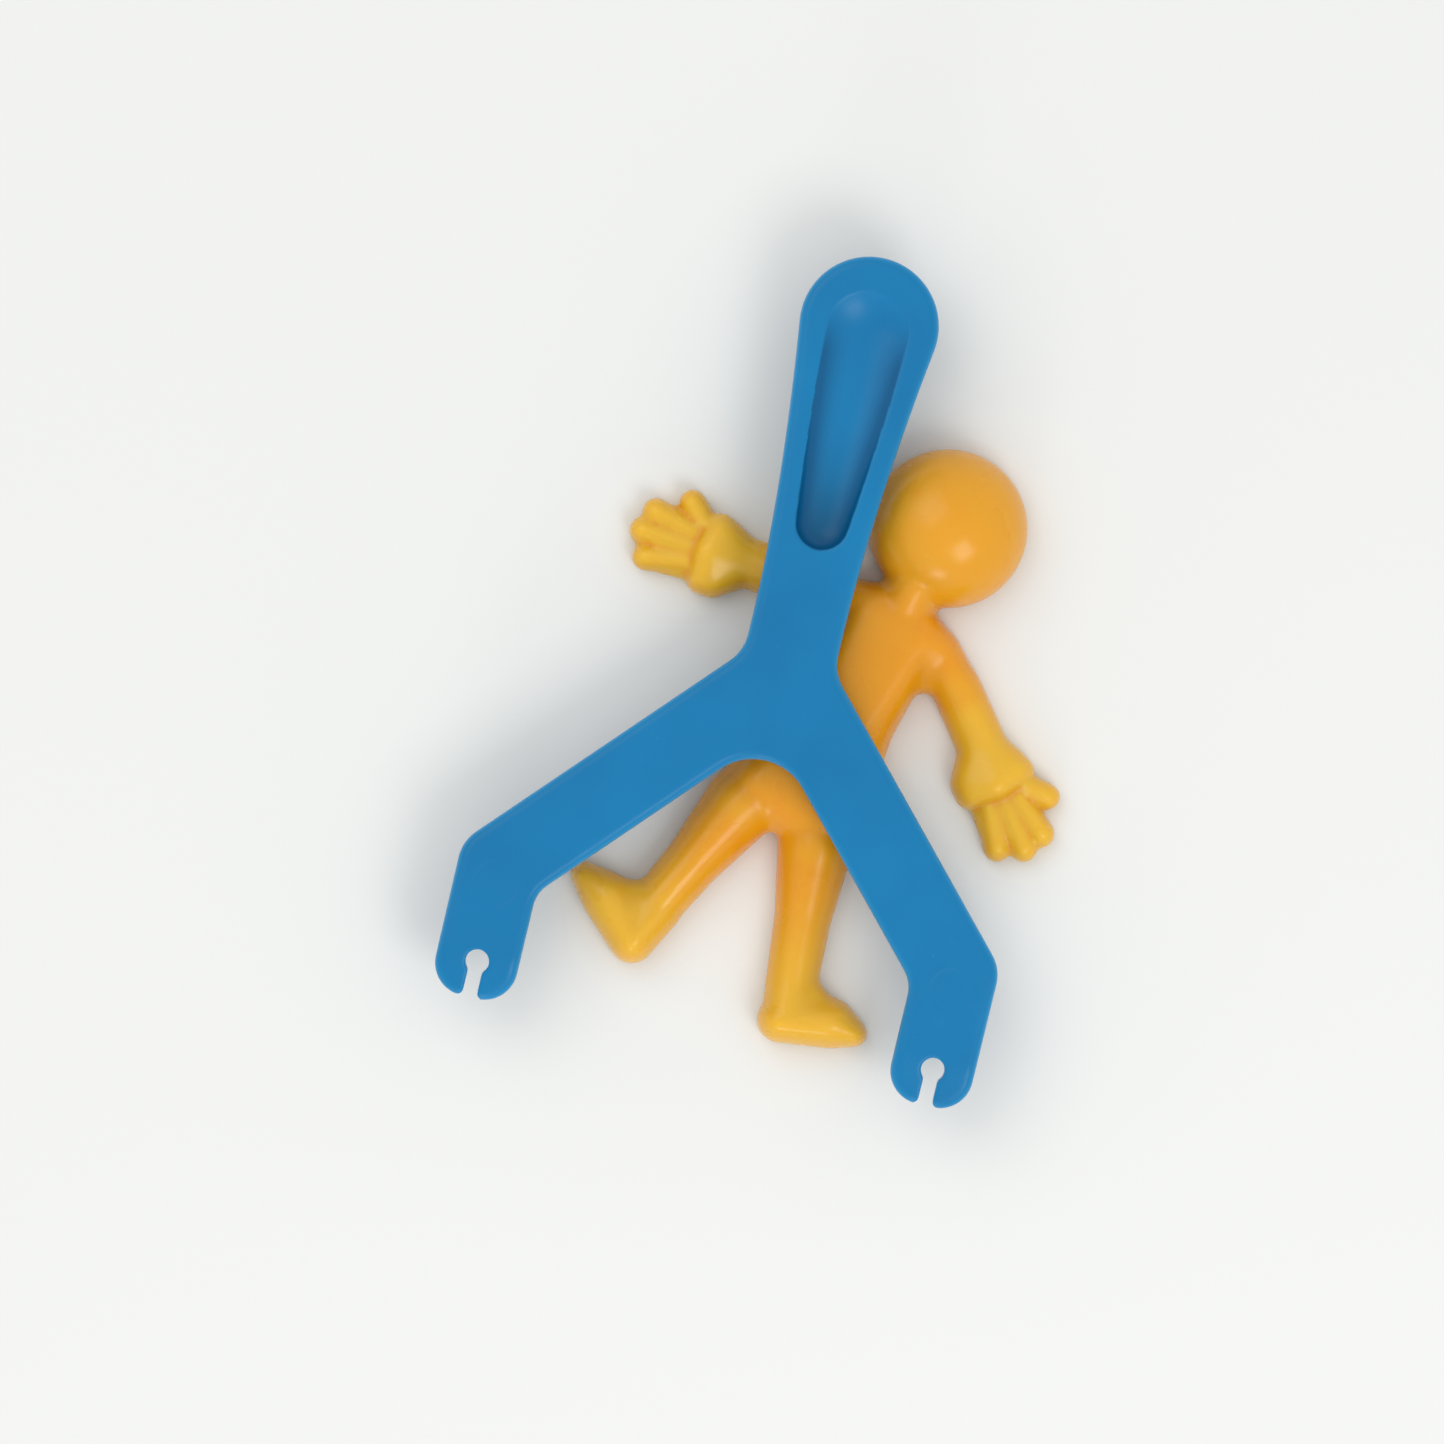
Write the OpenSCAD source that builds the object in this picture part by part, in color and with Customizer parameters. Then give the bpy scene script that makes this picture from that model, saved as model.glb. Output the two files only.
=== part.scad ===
// Sticky catapult toy: a rigid Y-shaped catapult lying on a soft, stretchy flat-backed figure.
// Millimetres. The origin is the middle of the figure's flat back, on the surface it lies on.
// +Y runs along the catapult towards its handle end, +X to the right, +Z up.
// Left and right are as seen from above, with the handle up.

/* [Catapult] */
// Thickness of the moulding
cat_t = 5.5; // [4:0.1:7]
// Radius that rounds the top and bottom edges
edge_r = 1.4; // [0.5:0.1:1.9]
// Fork root to the centre of the round handle end
handle_reach = 53.4; // [44:0.1:66]
// Radius of the round handle end
bulb_r = 10.45; // [9:0.05:13]
// Half width of the handle at its waist
waist_hw = 6.95; // [5.8:0.05:8.4]
// Fork root to the handle's waist
waist_y = 8.4; // [6:0.1:10]
// Clear height of the catapult's underside above the surface
cat_z = 9.3; // [9.3:0.1:14]

/* [Fork] */
// Length of a fork arm's centre line, root to elbow
arm_reach = 51.8; // [43:0.1:63]
// Angle of a fork arm from the catapult's centre line
arm_angle = 42.6; // [36:0.1:50]
// Width of a fork arm
arm_w = 12.7; // [10.6:0.1:14.4]
// Radius of the crotch between the arms
crotch_r = 8.6; // [7:0.1:10.3]
// Radius of the fillets between the handle and the arms
root_fillet_r = 6.8; // [5:0.1:8.2]
// Radius of the inner fillet at an elbow
elbow_fillet_r = 5; // [4.2:0.1:6]

/* [Prongs] */
// Width of a prong
prong_w = 12.5; // [11.2:0.1:14]
// Elbow to the prong's tip, along the prong
prong_len = 20.1; // [17:0.1:25]
// Radius of the two tip corners
tip_r = 5; // [4:0.1:5.5]
// Radius of the keyhole that grips a wrist
key_r = 1.8; // [1.5:0.05:2.2]
// Keyhole centre to the prong's tip
key_inset = 5.55; // [4.6:0.05:6.7]
// Width of the mouth that leads into the keyhole
mouth_w = 2.2; // [1.8:0.05:2.3]
// Radius that rounds the mouth's two corners
mouth_r = 0.9; // [0.4:0.1:1.2]
// Length of the slope that thins the two lobes beside the mouth
lobe_slope = 3.6; // [2:0.1:3.7]
// Drop of that slope at the tip
lobe_drop = 1.1; // [0.4:0.1:1.6]

/* [Thumb recess] */
// Depth at the steep lower end
recess_d = 2.4; // [1.2:0.1:2.9]
// Depth of the shallow dish in the round handle end
dish_d = 1.9; // [1:0.1:2.4]
// Half width of the dish at its rim
dish_hw = 6.3; // [5:0.1:7.6]
// Radius of the lower end
recess_r = 3.9; // [3:0.1:4.3]
// Centre of the lower end below the centre of the handle end
recess_len = 30.4; // [25:0.1:36]

/* [Figure] */
// Lean of the figure from the catapult's centre line, clockwise
fig_lean = 16.4; // [0:0.1:24]
// Thickness of the torso
torso_t = 9; // [7.5:0.1:9]
// Height of the line where the flat back's rim starts to curve in
rim_z = 1.2; // [0.6:0.1:1.6]
// Half width of the chest
chest_hw = 8; // [7.4:0.1:9]
// Half width of the waist
belly_hw = 8.4; // [7.5:0.1:9.4]
// Radius of the head
head_r = 12; // [10:0.1:12.4]
// Height of the head's dome
head_h = 14; // [12:0.1:14.4]
// Torso centre to head centre
head_y = 32.1; // [31:0.1:38]
// Running gap at the lines where the soft limbs bend
bend_gap = 0.2; // [0.15:0.01:0.3]

/* [Neck and arms] */
// Torso centre to the neck's bend
neck_y = 17; // [16:0.1:18]
// Radius of the neck at its root
neck_r = 5; // [4.4:0.1:5.4]
// Radius of the neck where it runs into the head
nape_r = 4.6; // [4:0.1:5]
// Lean of the head that the shoulders leave room for
neck_lean = 20; // [8:1:25]
// Centre line to the middle of a shoulder
shoulder_x = 7.9; // [7.6:0.1:9]
// Torso centre to the shoulder line
shoulder_y = 15.6; // [14:0.1:16]
// Radius of an arm at the shoulder
shoulder_r = 3.3; // [2.9:0.1:3.7]
// Radius of an arm where it bends
bend_r = 3.7; // [3.3:0.1:3.9]
// Radius of an arm at the wrist
wrist_r = 3.8; // [3.3:0.1:4.1]
// Height of an arm
arm_h = 6.2; // [5:0.1:7.4]
// Length of an arm, shoulder to wrist
arm_len = 16.3; // [15:0.1:20]
// Shoulder to the line where the arm bends, just outside the armpit
arm_bend = 6; // [5.5:0.1:7]
// Drop of the left arm below level
left_arm_drop = 10.9; // [6:0.1:24]
// Drop of the right arm below level
right_arm_drop = 36.5; // [20:0.1:42]
// Drop below level of an arm that is bent down to the torso's side
arm_lowest = 67; // [44:0.1:70]
// Shoulder to the part of an arm that stretches
upper_arm_len = 10.8; // [10.2:0.1:11.5]

/* [Hands] */
// Further drop of a hand below its arm
hand_turn = 4.4; // [0:0.1:10]
// Half width of the bulging cuff
cuff_hw = 6.6; // [5.5:0.1:7.9]
// Half length of the cuff
cuff_hl = 3.9; // [3.2:0.1:4.6]
// Height of the cuff
cuff_h = 7.6; // [6.4:0.1:8.6]
// Half width of the palm
palm_hw = 4.9; // [4:0.1:5.8]
// Height of the palm
palm_h = 5.4; // [4.5:0.1:6.4]
// Radius of a finger
finger_r = 2.2; // [1.8:0.1:2.5]
// Height of a finger
finger_h = 4.3; // [3.6:0.1:5.2]
// Wrist to the tip of the middle finger
hand_len = 18.2; // [15:0.1:22]

/* [Legs and feet] */
// Centre line to a hip's bend
hip_x = 6.3; // [6.1:0.1:7.4]
// Hip line below the torso centre
hip_drop = 19; // [18:0.1:23]
// Radius of a leg at the hip
hip_r = 5.8; // [4.8:0.1:5.8]
// Radius of a leg at the knee
knee_r = 4.3; // [3.6:0.1:5.1]
// Radius of a leg at the ankle
ankle_r = 3.9; // [3.2:0.1:4.6]
// Height of a leg at the hip
thigh_h = 8.7; // [7:0.1:8.9]
// Height of a leg at the knee
knee_h = 7.4; // [6:0.1:8.6]
// Height of a leg at the ankle
ankle_h = 7; // [5.8:0.1:8.2]
// Hip to ankle
leg_len = 22.4; // [19:0.1:27]
// Spread of the left leg from the figure's centre line
left_leg_spread = 10.7; // [6:0.1:24]
// Spread of the right leg from the figure's centre line
right_leg_spread = 20; // [6:0.1:28]
// Angle between the left leg and its foot
left_foot_angle = 110; // [90:1:115]
// Angle between the right leg and its foot
right_foot_angle = 96; // [90:1:115]
// Ankle to the centre of the heel
heel_drop = 4.7; // [3.8:0.1:5.6]
// Ankle line to toe centre
foot_len = 10.5; // [9:0.1:12]
// Radius of the heel
heel_r = 3.5; // [2.9:0.1:4.2]
// Radius of the instep
instep_r = 3.9; // [3.2:0.1:4.4]
// Radius of the toe
toe_r = 2; // [1.6:0.1:2.6]
// Height of the heel and instep
foot_h = 7.8; // [6.5:0.1:8.8]
// Height of the toe
toe_h = 6.6; // [5.6:0.1:7.6]

/* [Placing] */
// Fork root left of the origin
cat_dx = 9.6; // [0:0.1:16]
// Fork root above the origin
cat_dy = 3.95; // [0:0.05:10]

/* [Hidden] */
LEFT = -1;
RIGHT = 1;
blue = [0.06, 0.45, 0.72];
amber = [0.95, 0.62, 0.14];
yellow = [0.96, 0.72, 0.16];
far = 120;
bar_fn = 32;
limb_fn = 20;
finger_fn = 14;
edge_step = 30;
arm_hw = arm_w / 2;
prong_hw = prong_w / 2;
elbow_x = arm_reach * sin(arm_angle);
elbow_y = -arm_reach * cos(arm_angle);
tip_y = elbow_y - prong_len;
key_y = tip_y + key_inset;
// Radius of the long arcs that widen the handle from its waist to its round end
side_r = pow(handle_reach - waist_y, 2) / (2 * (bulb_r - waist_hw));
handle_steps = 3;
// How far a corner's filling reaches into the bars past their rounded edges
fill_lap = 0.4;
// How far a corner's arc bites into the bars' sides, so that the surfaces cross at a clear angle
fill_bite = 0.03;
// Where the handle and the arms pass into the hub: just past the fillets
hub_top = waist_y - 1;
hub_reach = arm_hw / tan(arm_angle) + crotch_r / tan(arm_angle) + 0.7;
// Sharp corners that the fillets fill, as seen on the right-hand side
root_corner = [waist_hw, (arm_hw - waist_hw * cos(arm_angle)) / sin(arm_angle)];
crotch_corner = [0, -arm_hw / sin(arm_angle)];
elbow_corner = [elbow_x - prong_hw, crotch_corner[1] - (elbow_x - prong_hw) / tan(arm_angle)];
// Sphere whose cap is the shallow dish
dish_r = (dish_hw * dish_hw + dish_d * dish_d) / (2 * dish_d);
// Figure
chest_x = chest_hw - shoulder_r;
chest_y = shoulder_y - 0.6;
belly_r = 5.4;
belly_x = belly_hw - belly_r;
pelvis_r = 5.6;
pelvis_x = hip_x + hip_r - pelvis_r - 1;
pelvis_y = -hip_drop + 4;
nape_y = head_y - head_r + 1.5;
// The torso's lower end is cut off square between the hips, where it would run out thin
torso_end_y = -hip_drop + 2.4;
// How much taller an arm is at the shoulder than at the wrist
shoulder_rise = 0.6;
bend_h = arm_h + shoulder_rise * (1 - arm_bend / arm_len);
// The torso's shoulders are cut off square this far short of the arms' bends
stub_cut = 2.2;
// Fingers: [length share of the middle one, sideways place at the tip, sideways place at the root]
fingers = [[0.95, 4.1, 2.4], [1, 0.8, 0.3], [0.93, -3, -2]];
finger_root = 9;
// The palm's lower end is narrower and lower than its upper end
palm_from = 6.6;
palm_to = 12.2;
palm_taper = 0.6;
thumb_root = [6.2, 2.8];
thumb_tip = [9.7, 6.9];
cuff_y = 4.4;
// Foot: the heel stands back from the leg's line, and the toe lies low, in line with the sole
heel_back = 0.8;
instep_at = 6.7;
toe_low = 1.4;

// Catapult, drawn about the fork root with the handle along +Y

// A flat disc with rounded rims
module pad(r) {
    rotate_extrude($fn = bar_fn)
        polygon(concat(
            [[0, 0]],
            [for (a = [90 : -edge_step : 0]) [r - edge_r * (1 - cos(a)), edge_r * (1 - sin(a))]],
            [for (a = [0 : edge_step : 90]) [r - edge_r * (1 - cos(a)), cat_t - edge_r * (1 - sin(a))]],
            [[0, cat_t]]));
}

// What a concave arc of the outline cuts away, with the same rounded rims
module rim_cutter(r) {
    rotate_extrude($fn = 64)
        polygon(concat(
            [[0, -1], [r + edge_r, -1]],
            [for (a = [90 : -edge_step : 0]) [r + edge_r * (1 - cos(a)), edge_r * (1 - sin(a))]],
            [for (a = [0 : edge_step : 90]) [r + edge_r * (1 - cos(a)), cat_t - edge_r * (1 - sin(a))]],
            [[r + edge_r, cat_t + 1], [0, cat_t + 1]]));
}

// Fills the corner at p between two outline edges that leave it at angles a1 and a2
module corner_fill(p, a1, a2, r) {
    half = (a2 - a1) / 2;
    mid = (a1 + a2) / 2;
    to_centre = [cos(mid), sin(mid)];
    centre = p + to_centre * (r - fill_bite) / sin(half);
    inner = p - to_centre * (edge_r + fill_lap) / sin(half);
    reach = r + edge_r + fill_lap;
    difference() {
        linear_extrude(cat_t)
            polygon([
                centre,
                centre + reach * [cos(a1 - 90), sin(a1 - 90)],
                inner,
                centre + reach * [cos(a2 + 90), sin(a2 + 90)]]);
        translate([centre[0], centre[1], 0]) rim_cutter(r);
    }
}

function handle_hw(y) = waist_hw + pow(y - waist_y, 2) / (2 * side_r);

module handle_bar() {
    step = (handle_reach - waist_y) / handle_steps;
    for (i = [0 : handle_steps - 1])
        hull() {
            translate([0, waist_y + i * step, 0]) rotate(90) pad(handle_hw(waist_y + i * step));
            translate([0, waist_y + (i + 1) * step, 0]) rotate(90) pad(handle_hw(waist_y + (i + 1) * step));
        }
}

// Lower part of the handle, of even width, that runs down into the hub
module handle_root() {
    hull() {
        rotate(90) pad(waist_hw);
        translate([0, waist_y + 2, 0]) rotate(90) pad(waist_hw);
    }
}

module thumb_recess() {
    hull() {
        translate([0, handle_reach - recess_len, cat_t]) scale([1, 1, recess_d / recess_r]) sphere(recess_r, $fn = 20);
        intersection() {
            translate([0, handle_reach - 1, cat_t - dish_d + dish_r]) sphere(dish_r, $fn = 48);
            translate([-far / 2, 0, cat_t - recess_d]) cube([far, far, recess_d + 0.6]);
        }
    }
}

module arm_bar() {
    rotate(arm_angle - 90)
        hull() {
            pad(arm_hw);
            translate([arm_reach, 0, 0]) pad(arm_hw);
        }
}

module prong_bar() {
    hull() {
        translate([elbow_x, elbow_y, 0]) pad(prong_hw);
        for (side = [LEFT, RIGHT])
            translate([elbow_x + side * (prong_hw - tip_r), tip_y + tip_r, 0]) pad(tip_r);
    }
}

// The open keyhole, with rounded corners at its mouth
module keyhole_cutter() {
    translate([elbow_x, key_y, -1]) cylinder(h = cat_t + 2, r = key_r, $fn = 48);
    translate([elbow_x - mouth_w / 2, tip_y - 1, -1]) cube([mouth_w, key_inset + 1, cat_t + 2]);
    translate([0, 0, -1])
        difference() {
            translate([elbow_x - mouth_w / 2 - mouth_r, tip_y - 1, 0])
                cube([mouth_w + 2 * mouth_r, 1 + mouth_r, cat_t + 2]);
            for (side = [LEFT, RIGHT])
                translate([elbow_x + side * (mouth_w / 2 + mouth_r), tip_y + mouth_r, -1])
                    cylinder(h = cat_t + 4, r = mouth_r, $fn = 24);
        }
}

module elbow_fill() {
    corner_fill(elbow_corner, 90 + arm_angle, 270, elbow_fillet_r);
}

// Half spaces that part the moulding into its stretches

module beyond_hub_top() {
    translate([-far, hub_top, -1]) cube([2 * far, far, cat_t + 2]);
}

module along_arm(from, to) {
    rotate(arm_angle - 90) translate([from, -far, -1]) cube([to - from, 2 * far, cat_t + 2]);
}

module below_elbow() {
    translate([elbow_x, elbow_y, -1])
        rotate(arm_angle / 2) translate([-far, -2 * far, 0]) cube([2 * far, 2 * far, cat_t + 2]);
}

module place_catapult(side) {
    color(blue)
        translate([-cat_dx, cat_dy, cat_z])
            mirror([side < 0 ? 1 : 0, 0, 0]) children();
}

module handle() {
    place_catapult(RIGHT)
        difference() {
            intersection() {
                handle_bar();
                beyond_hub_top();
            }
            thumb_recess();
        }
}

module fork_hub() {
    place_catapult(RIGHT)
        difference() {
            union() {
                handle_root();
                for (side = [LEFT, RIGHT])
                    mirror([side < 0 ? 1 : 0, 0, 0]) {
                        intersection() {
                            arm_bar();
                            along_arm(-far, hub_reach);
                        }
                        corner_fill(root_corner, arm_angle - 90, 90, root_fillet_r);
                    }
                corner_fill(crotch_corner, 270 - arm_angle, 270 + arm_angle, crotch_r);
            }
            beyond_hub_top();
        }
}

module fork_arm(side) {
    place_catapult(side)
        difference() {
            intersection() {
                union() {
                    arm_bar();
                    elbow_fill();
                }
                along_arm(hub_reach, far);
            }
            below_elbow();
        }
}

// What lies above the slope of the lobes
module lobe_slope_cutter() {
    translate([elbow_x, tip_y, cat_t - lobe_drop])
        rotate([atan(lobe_drop / lobe_slope), 0, 0])
            translate([-far / 2, -far / 2, 0]) cube(far);
}

module prong(side) {
    place_catapult(side)
        difference() {
            intersection() {
                union() {
                    prong_bar();
                    elbow_fill();
                }
                below_elbow();
            }
            keyhole_cutter();
            lobe_slope_cutter();
        }
}

// Figure, drawn about the torso's centre with the head along +Y

// A soft lump: round in plan, domed on top, cut flat by the back
module lump(x, y, r, h, fn = limb_fn) {
    translate([x, y, rim_z]) scale([1, 1, (h - rim_z) / r]) sphere(r, $fn = fn);
}

module above_back() {
    intersection() {
        translate([-far, -far, 0]) cube([2 * far, 2 * far, far]);
        children();
    }
}

module bend_cutter(x, y, r) {
    translate([x, y, -1]) cylinder(h = far, r = r + bend_gap, $fn = 48);
}

module place_figure(side) {
    rotate(-fig_lean) mirror([side < 0 ? 1 : 0, 0, 0]) children();
}

function arm_drop(side) = side < 0 ? left_arm_drop : right_arm_drop;
function leg_spread(side) = side < 0 ? left_leg_spread : right_leg_spread;
function foot_angle(side) = side < 0 ? left_foot_angle : right_foot_angle;

// Puts a shoulder's middle at the origin, with the arm along +X
module shoulder_side(side) {
    mirror([side < 0 ? 1 : 0, 0, 0])
        translate([shoulder_x, shoulder_y, 0]) rotate(-arm_drop(side)) children();
}

// The stretch from a shoulder to its arm's bend
module shoulder_tube() {
    above_back()
        hull() {
            lump(0, 0, shoulder_r, arm_h + shoulder_rise);
            lump(arm_bend, 0, bend_r, bend_h);
        }
}

// An arm from its bend to its wrist
module arm_tube() {
    above_back()
        hull() {
            lump(arm_bend, 0, bend_r, bend_h);
            lump(arm_len + 1, 0, wrist_r, arm_h);
        }
}

module arm_span(from, to) {
    translate([from, -far, -1]) cube([to - from, 2 * far, far]);
}

module torso() {
    clear = bend_gap / 2;
    color(amber) place_figure(RIGHT)
        difference() {
            above_back() {
                hull() {
                    for (side = [LEFT, RIGHT]) {
                        lump(side * chest_x, chest_y, shoulder_r, torso_t - 0.4);
                        lump(side * belly_x, 0, belly_r, torso_t);
                    }
                    lump(0, neck_y - 0.6, neck_r, torso_t - 1);
                }
                for (side = [LEFT, RIGHT])
                    shoulder_side(side) shoulder_tube();
                hull()
                    for (side = [LEFT, RIGHT]) {
                        lump(side * belly_x, 0, belly_r, torso_t);
                        lump(side * pelvis_x, pelvis_y, pelvis_r, torso_t);
                    }
            }
            bend_cutter(0, neck_y, neck_r);
            for (side = [LEFT, RIGHT]) {
                bend_cutter(side * hip_x, -hip_drop, hip_r);
                shoulder_side(side) {
                    bend_cutter(arm_bend, 0, bend_r);
                    translate([arm_bend - stub_cut, -bend_r - bend_gap, -1]) cube(far);
                    translate([arm_bend, 0, -1]) rotate(arm_drop(side) - arm_lowest)
                        translate([0, -bend_r - clear, 0]) cube([far, 2 * bend_r, far]);
                }
                mirror([side < 0 ? 1 : 0, 0, 0])
                    translate([0, neck_y, -1]) rotate(-neck_lean)
                        translate([-far, 0, 0]) cube([far + neck_r + clear, far, far]);
            }
            translate([-far, torso_end_y - far, -1]) cube([2 * far, far, far]);
        }
}

module head_ball() {
    translate([0, head_y, head_h - head_r]) sphere(head_r, $fn = 64);
}

module head() {
    color(amber) place_figure(RIGHT) above_back() head_ball();
}

module neck() {
    color(amber) place_figure(RIGHT)
        difference() {
            above_back()
                hull() {
                    lump(0, neck_y, neck_r, torso_t - 1);
                    lump(0, nape_y, nape_r, torso_t - 0.5);
                }
            head_ball();
        }
}

module arm_frame(side) {
    place_figure(RIGHT) shoulder_side(side) children();
}

module upper_arm(side) {
    color(amber) arm_frame(side)
        intersection() {
            arm_tube();
            arm_span(-far, upper_arm_len);
        }
}

module forearm(side) {
    color(amber) arm_frame(side)
        intersection() {
            arm_tube();
            arm_span(upper_arm_len, arm_len - bend_gap);
        }
}

module hand_shape() {
    hull() {
        lump(-1, 0, wrist_r, arm_h);
        lump(cuff_y, 0, wrist_r, arm_h);
    }
    hull()
        translate([cuff_y, 0, rim_z])
            scale([cuff_hl, cuff_hw, cuff_h - rim_z]) sphere(1, $fn = limb_fn);
    hull() {
        lump(palm_from, 0, palm_hw, palm_h);
        lump(palm_to, 0.2, palm_hw - palm_taper, palm_h - palm_taper);
    }
    hull() {
        lump(thumb_root[0], thumb_root[1], finger_r, palm_h - 0.4, finger_fn);
        lump(thumb_tip[0], thumb_tip[1], finger_r, finger_h, finger_fn);
    }
    for (f = fingers)
        hull() {
            lump(finger_root, f[2], finger_r, palm_h - 0.6, finger_fn);
            lump(f[0] * hand_len - finger_r, f[1], finger_r, finger_h, finger_fn);
        }
}

module hand(side) {
    color(yellow) arm_frame(side)
        intersection() {
            above_back() translate([arm_len, 0, 0]) rotate(-hand_turn) hand_shape();
            arm_span(arm_len, far);
        }
}

module leg_frame(side) {
    place_figure(side) translate([hip_x, -hip_drop, 0]) rotate(leg_spread(side) - 90) children();
}

module shin() {
    hull() {
        lump(leg_len / 2, 0, knee_r, knee_h);
        lump(leg_len, 0, ankle_r, ankle_h);
    }
}

module past_ankle() {
    translate([leg_len, -far, -1]) cube([far, 2 * far, far]);
}

module leg(side) {
    color(amber) leg_frame(side)
        difference() {
            above_back() {
                hull() {
                    lump(0, 0, hip_r, thigh_h);
                    lump(leg_len / 2, 0, knee_r, knee_h);
                }
                shin();
            }
            past_ankle();
        }
}

module foot(side) {
    color(yellow) leg_frame(side)
        intersection() {
            above_back() {
                hull() {
                    lump(leg_len, 0, ankle_r, ankle_h);
                    lump(leg_len + heel_drop, 0, heel_r, foot_h);
                }
                translate([leg_len + heel_drop, 0, 0]) rotate(foot_angle(side))
                    hull() {
                        lump(-heel_back, 0, heel_r, foot_h);
                        lump(instep_at, 0, instep_r, foot_h);
                        lump(foot_len, -toe_low, toe_r, toe_h);
                    }
            }
            past_ankle();
        }
}

handle();
fork_hub();
fork_arm(LEFT);  // left_fork_arm
fork_arm(RIGHT);  // right_fork_arm
prong(LEFT);  // left_prong
prong(RIGHT);  // right_prong
torso();
neck();
head();
upper_arm(LEFT);  // left_upper_arm
upper_arm(RIGHT);  // right_upper_arm
forearm(LEFT);  // left_forearm
forearm(RIGHT);  // right_forearm
hand(LEFT);  // left_hand
hand(RIGHT);  // right_hand
leg(LEFT);  // left_leg
leg(RIGHT);  // right_leg
foot(LEFT);  // left_foot
foot(RIGHT);  // right_foot
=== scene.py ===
"""Looks of the sticky catapult toy: a blue moulded catapult on a soft amber figure.

Pieces are modelled in millimetres, then scaled to metres and put in their place.
Left and right are as seen from above, with the catapult's handle up.
"""

import math

import bpy
import numpy as np
from mathutils import Matrix, Vector


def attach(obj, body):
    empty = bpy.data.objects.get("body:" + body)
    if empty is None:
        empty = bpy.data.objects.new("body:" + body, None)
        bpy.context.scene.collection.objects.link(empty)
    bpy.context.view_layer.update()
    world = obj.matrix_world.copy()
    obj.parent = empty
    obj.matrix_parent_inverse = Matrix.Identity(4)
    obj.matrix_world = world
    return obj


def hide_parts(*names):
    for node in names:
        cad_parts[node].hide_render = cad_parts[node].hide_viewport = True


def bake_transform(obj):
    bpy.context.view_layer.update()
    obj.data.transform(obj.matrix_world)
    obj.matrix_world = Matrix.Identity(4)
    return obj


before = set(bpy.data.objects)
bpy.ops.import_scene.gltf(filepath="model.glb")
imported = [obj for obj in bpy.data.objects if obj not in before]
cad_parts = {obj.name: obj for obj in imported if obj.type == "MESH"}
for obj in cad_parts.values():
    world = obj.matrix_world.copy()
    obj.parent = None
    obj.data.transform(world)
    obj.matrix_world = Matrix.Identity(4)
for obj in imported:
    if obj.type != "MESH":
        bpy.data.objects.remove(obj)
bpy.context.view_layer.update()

TO_METRES = Matrix.Scale(0.001, 4)
LEFT, RIGHT = -1, 1
SIDES = {LEFT: "left", RIGHT: "right"}

# Catapult: the fork's middle at the origin, the handle along +Y, the back at z = 0
CAT_PLACE = Vector((-9.6, 3.95, 9.3))
CAT_T = 5.5
EDGE_R = 1.4
HANDLE_REACH = 53.4  # to the middle of the handle's round end
BULB_R = 10.45
BULB_DIP_DEG = 7.8  # how far below level the round end passes into the flare
WAIST_HW = 6.95
WAIST_Y = 8.4
FLARE_POWER = 1.75
FORK_REACH = 51.8
FORK_ANGLE = math.radians(42.6)
FORK_HW = 6.35
CROTCH_R = 8.6
ROOT_FILLET_R = 6.8
ELBOW_FILLET_R = 5.0
ELBOW_END_DEG = 3.0  # where the elbow's round passes into the prong's side
PRONG_HW = 6.25
PRONG_LEN = 20.1
TIP_R = 5.0
LOBE_SLOPE = 7.5  # the lobes thin over this way up from their tips
LOBE_DROP = 1.3
KEY_R = 1.8
KEY_INSET = 5.55
MOUTH_HW = 1.1
MOUTH_R = 0.9
CUTTER_SPARE = 2.0  # how far a keyhole's cutters stand out of the tip
PIN_MARK_R = 3.6
PIN_MARK_UP = 17.6
PIN_MARK_D = 0.09
PIN_MARK_RIM = 0.45
TOP_SKIN = 0.15  # what lies no further below the top face belongs to it
BULB_STEPS, FLARE_STEPS, CORNER_STEPS, ELBOW_STEPS = 44, 60, 16, 12

# Thumb recess
RECESS_D = 2.4
RECESS_R = 3.9
RECESS_LEN = 30.4
DISH_D = 1.9
DISH_HW = 6.3
DISH_BACK = 1.0  # the dish's middle lies this far down from the middle of the round end
SCOOP_SPARE = 0.6  # how far the scoop stands out of the top face
SHADE_SPARE = 0.3
# Its painted shade grows over these depths, and over these ways down from the round end's middle
WALL_SHADE_DEPTHS, WALL_SHADE_WAY = (0, 0.14), (-3, 6)
FLOOR_SHADE_DEPTHS, FLOOR_SHADE_WAY = (0, 0.4), (12, 37)
FLOOR_SHADE_POWER = 1.3

# Figure: its middle at the origin, its head along +Y, its flat back at z = 0
LEAN = math.radians(16.4)
RIM_Z = 1.2  # where each lump is widest
TORSO_T = 9.0
HEAD_Y = 32.1
HEAD_R = 12.0
HEAD_H = 14.0
SHOULDER = Vector((7.9, 15.6))
ARMPIT_X = 8.3
ARM_HW = 3.7
ARM_LEN = 16.3
ARM_BEND = 6.0
ARM_SPLIT = 10.8
ARM_DROP = {LEFT: math.radians(10.9), RIGHT: math.radians(36.5)}
HAND_TURN = math.radians(4.4)
HIP = Vector((6.3, -19.0))
LEG_LEN = 22.4
LEG_CUT = 1.2
LEG_SPREAD = {LEFT: math.radians(10.7), RIGHT: math.radians(20.0)}
ANKLE_HW = 3.9
FOOT_HW = 3.7
FOOT_ANGLE = {LEFT: math.radians(110.0), RIGHT: math.radians(96.0)}
HEEL_DROP = {LEFT: 4.0, RIGHT: 4.5}
HEEL_BACK = {LEFT: 0.7, RIGHT: 0.1}
TOE_REACH = {LEFT: 11.4, RIGHT: 10.5}

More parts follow.
